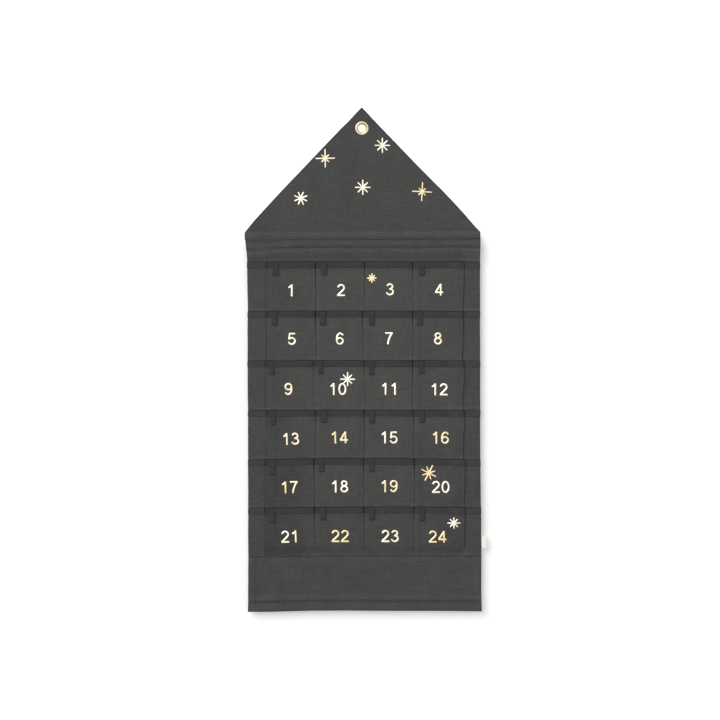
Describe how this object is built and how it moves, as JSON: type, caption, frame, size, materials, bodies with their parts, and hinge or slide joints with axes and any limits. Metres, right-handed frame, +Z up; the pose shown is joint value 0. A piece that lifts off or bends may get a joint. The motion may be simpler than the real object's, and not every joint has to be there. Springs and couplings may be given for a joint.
{
  "type": "advent calendar",
  "caption": "Wall-hanging cloth advent calendar shaped as a gabled house, with box pockets in rows, tape loops, a brass eyelet and stiffening sticks.",
  "frame": {"origin": "centre of the eyelet's hole, in the plane of the cloth's back face", "axes": "+Z up along the hanging height, the front faces -Y, +X to the right seen from the front"},
  "size_m": [0.3958, 0.0142, 0.8195],
  "materials": {
    "canvas": "charcoal plain-weave cotton canvas, matte",
    "tape": "charcoal herringbone cotton tape, matte",
    "brass": "pale polished brass",
    "wood": "plain beech, unvarnished",
    "ribbon": "cream cotton ribbon, bare"
  },
  "bodies": {
    "roof": {"roof_back": "canvas", "roof_front": "canvas", "eyelet": "brass", "eyelet_washer": "brass", "top_stick": "wood"},
    "body": {"body_panel": "canvas", "bottom_stick": "wood", "pocket_row_1": "canvas", "pocket_row_2": "canvas", "pocket_row_3": "canvas", "pocket_row_4": "canvas", "pocket_row_5": "canvas", "pocket_row_6": "canvas", "mouth_tape_1": "tape", "mouth_tape_2": "tape", "mouth_tape_3": "tape", "mouth_tape_4": "tape", "mouth_tape_5": "tape", "mouth_tape_6": "tape"},
    "label": {"side_label": "ribbon"},
    "loop_01": {"loop_01": "tape"},
    "loop_02": {"loop_02": "tape"},
    "loop_04": {"loop_04": "tape"},
    "loop_05": {"loop_05": "tape"},
    "loop_06": {"loop_06": "tape"},
    "loop_07": {"loop_07": "tape"},
    "loop_08": {"loop_08": "tape"},
    "loop_09": {"loop_09": "tape"},
    "loop_10": {"loop_10": "tape"},
    "loop_11": {"loop_11": "tape"},
    "loop_12": {"loop_12": "tape"},
    "loop_13": {"loop_13": "tape"},
    "loop_14": {"loop_14": "tape"},
    "loop_15": {"loop_15": "tape"},
    "loop_16": {"loop_16": "tape"},
    "loop_17": {"loop_17": "tape"},
    "loop_18": {"loop_18": "tape"},
    "loop_19": {"loop_19": "tape"},
    "loop_21": {"loop_21": "tape"},
    "loop_22": {"loop_22": "tape"},
    "loop_23": {"loop_23": "tape"},
    "loop_24": {"loop_24": "tape"}
  },
  "joints": [
    {"name": "roof_fold", "type": "hinge", "parent": "roof", "child": "body", "pos_m": [0.0025, -0.0008, -0.1821], "axis": [-1, 0, 0], "range_deg": [0, 90]},
    {"name": "label_hinge", "type": "hinge", "parent": "body", "child": "label", "pos_m": [0.1933, -0.0008, -0.6763], "axis": [0, 0, -1], "range_deg": [0, 80]},
    {"name": "loop_01_hinge", "type": "hinge", "parent": "body", "child": "loop_01", "pos_m": [-0.1415, -0.00895, -0.21945], "axis": [-1, 0, 0], "range_deg": [0, 150]},
    {"name": "loop_02_hinge", "type": "hinge", "parent": "body", "child": "loop_02", "pos_m": [-0.0615, -0.00895, -0.21945], "axis": [-1, 0, 0], "range_deg": [0, 150]},
    {"name": "loop_04_hinge", "type": "hinge", "parent": "body", "child": "loop_04", "pos_m": [0.098, -0.00895, -0.21945], "axis": [-1, 0, 0], "range_deg": [0, 150]},
    {"name": "loop_05_hinge", "type": "hinge", "parent": "body", "child": "loop_05", "pos_m": [-0.1425, -0.00895, -0.29975], "axis": [-1, 0, 0], "range_deg": [0, 150]},
    {"name": "loop_06_hinge", "type": "hinge", "parent": "body", "child": "loop_06", "pos_m": [-0.0635, -0.00895, -0.29975], "axis": [-1, 0, 0], "range_deg": [0, 150]},
    {"name": "loop_07_hinge", "type": "hinge", "parent": "body", "child": "loop_07", "pos_m": [0.016, -0.00895, -0.29975], "axis": [-1, 0, 0], "range_deg": [0, 150]},
    {"name": "loop_08_hinge", "type": "hinge", "parent": "body", "child": "loop_08", "pos_m": [0.095, -0.00895, -0.29975], "axis": [-1, 0, 0], "range_deg": [0, 150]},
    {"name": "loop_09_hinge", "type": "hinge", "parent": "body", "child": "loop_09", "pos_m": [-0.1475, -0.00895, -0.38005], "axis": [-1, 0, 0], "range_deg": [0, 150]},
    {"name": "loop_10_hinge", "type": "hinge", "parent": "body", "child": "loop_10", "pos_m": [-0.067, -0.00895, -0.38005], "axis": [-1, 0, 0], "range_deg": [0, 150]},
    {"name": "loop_11_hinge", "type": "hinge", "parent": "body", "child": "loop_11", "pos_m": [0.016, -0.00895, -0.38005], "axis": [-1, 0, 0], "range_deg": [0, 150]},
    {"name": "loop_12_hinge", "type": "hinge", "parent": "body", "child": "loop_12", "pos_m": [0.097, -0.00895, -0.38005], "axis": [-1, 0, 0], "range_deg": [0, 150]},
    {"name": "loop_13_hinge", "type": "hinge", "parent": "body", "child": "loop_13", "pos_m": [-0.145, -0.00895, -0.46035], "axis": [-1, 0, 0], "range_deg": [0, 150]},
    {"name": "loop_14_hinge", "type": "hinge", "parent": "body", "child": "loop_14", "pos_m": [-0.062, -0.00895, -0.46035], "axis": [-1, 0, 0], "range_deg": [0, 150]},
    {"name": "loop_15_hinge", "type": "hinge", "parent": "body", "child": "loop_15", "pos_m": [0.0165, -0.00895, -0.46035], "axis": [-1, 0, 0], "range_deg": [0, 150]},
    {"name": "loop_16_hinge", "type": "hinge", "parent": "body", "child": "loop_16", "pos_m": [0.098, -0.00895, -0.46035], "axis": [-1, 0, 0], "range_deg": [0, 150]},
    {"name": "loop_17_hinge", "type": "hinge", "parent": "body", "child": "loop_17", "pos_m": [-0.146, -0.00895, -0.54065], "axis": [-1, 0, 0], "range_deg": [0, 150]},
    {"name": "loop_18_hinge", "type": "hinge", "parent": "body", "child": "loop_18", "pos_m": [-0.066, -0.00895, -0.54065], "axis": [-1, 0, 0], "range_deg": [0, 150]},
    {"name": "loop_19_hinge", "type": "hinge", "parent": "body", "child": "loop_19", "pos_m": [0.016, -0.00895, -0.54065], "axis": [-1, 0, 0], "range_deg": [0, 150]},
    {"name": "loop_21_hinge", "type": "hinge", "parent": "body", "child": "loop_21", "pos_m": [-0.1465, -0.00895, -0.62095], "axis": [-1, 0, 0], "range_deg": [0, 150]},
    {"name": "loop_22_hinge", "type": "hinge", "parent": "body", "child": "loop_22", "pos_m": [-0.064, -0.00895, -0.62095], "axis": [-1, 0, 0], "range_deg": [0, 150]},
    {"name": "loop_23_hinge", "type": "hinge", "parent": "body", "child": "loop_23", "pos_m": [0.0165, -0.00895, -0.62095], "axis": [-1, 0, 0], "range_deg": [0, 150]},
    {"name": "loop_24_hinge", "type": "hinge", "parent": "body", "child": "loop_24", "pos_m": [0.098, -0.00895, -0.62095], "axis": [-1, 0, 0], "range_deg": [0, 150]}
  ]
}
